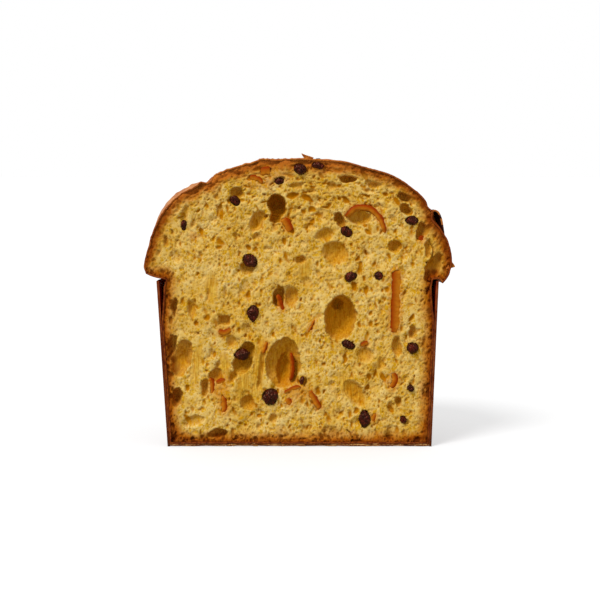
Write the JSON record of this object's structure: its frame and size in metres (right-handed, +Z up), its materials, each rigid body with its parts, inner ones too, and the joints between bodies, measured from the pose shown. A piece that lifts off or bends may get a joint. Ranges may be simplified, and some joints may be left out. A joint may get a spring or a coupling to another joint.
{
  "type": "panettone half",
  "caption": "Half of a tall domed fruit loaf in its half of a brown paper baking mould, cut face showing an open crumb with raisins and candied peel.",
  "frame": {"origin": "middle of the bounding box's footprint, on the floor", "axes": "+Z up; the flat cut face looks along -Y; +X to the right as the cut face is seen from the front"},
  "size_m": [0.1942, 0.0988, 0.184],
  "materials": {
    "crumb": "soft yellow open crumb under a red-brown satin crust",
    "raisin": "wrinkled, dark and slightly moist",
    "peel": "translucent candied orange peel",
    "paper": "fine-fluted brown baking paper, matt"
  },
  "bodies": {
    "root": {"loaf": "crumb", "paper_wall": "paper", "paper_base": "paper", "raisin_01": "raisin", "raisin_02": "raisin", "raisin_03": "raisin", "raisin_04": "raisin", "raisin_05": "raisin", "raisin_06": "raisin", "raisin_07": "raisin", "raisin_08": "raisin", "raisin_09": "raisin", "raisin_10": "raisin", "raisin_11": "raisin", "raisin_12": "raisin", "raisin_13": "raisin", "raisin_14": "raisin", "raisin_15": "raisin", "raisin_16": "raisin", "raisin_17": "raisin", "raisin_18": "raisin", "raisin_19": "raisin", "raisin_20": "raisin", "raisin_21": "raisin", "raisin_22": "raisin", "raisin_23": "raisin", "raisin_24": "raisin", "raisin_25": "raisin", "peel_01": "peel", "peel_02": "peel", "peel_03": "peel", "peel_04": "peel", "peel_05": "peel", "peel_06": "peel", "peel_07": "peel", "peel_08": "peel", "peel_09": "peel", "peel_10": "peel", "peel_11": "peel", "peel_12": "peel", "peel_13": "peel", "peel_14": "peel", "peel_15": "peel", "peel_16": "peel", "peel_17": "peel", "peel_18": "peel", "peel_19": "peel", "peel_20": "peel"}
  },
  "joints": []
}
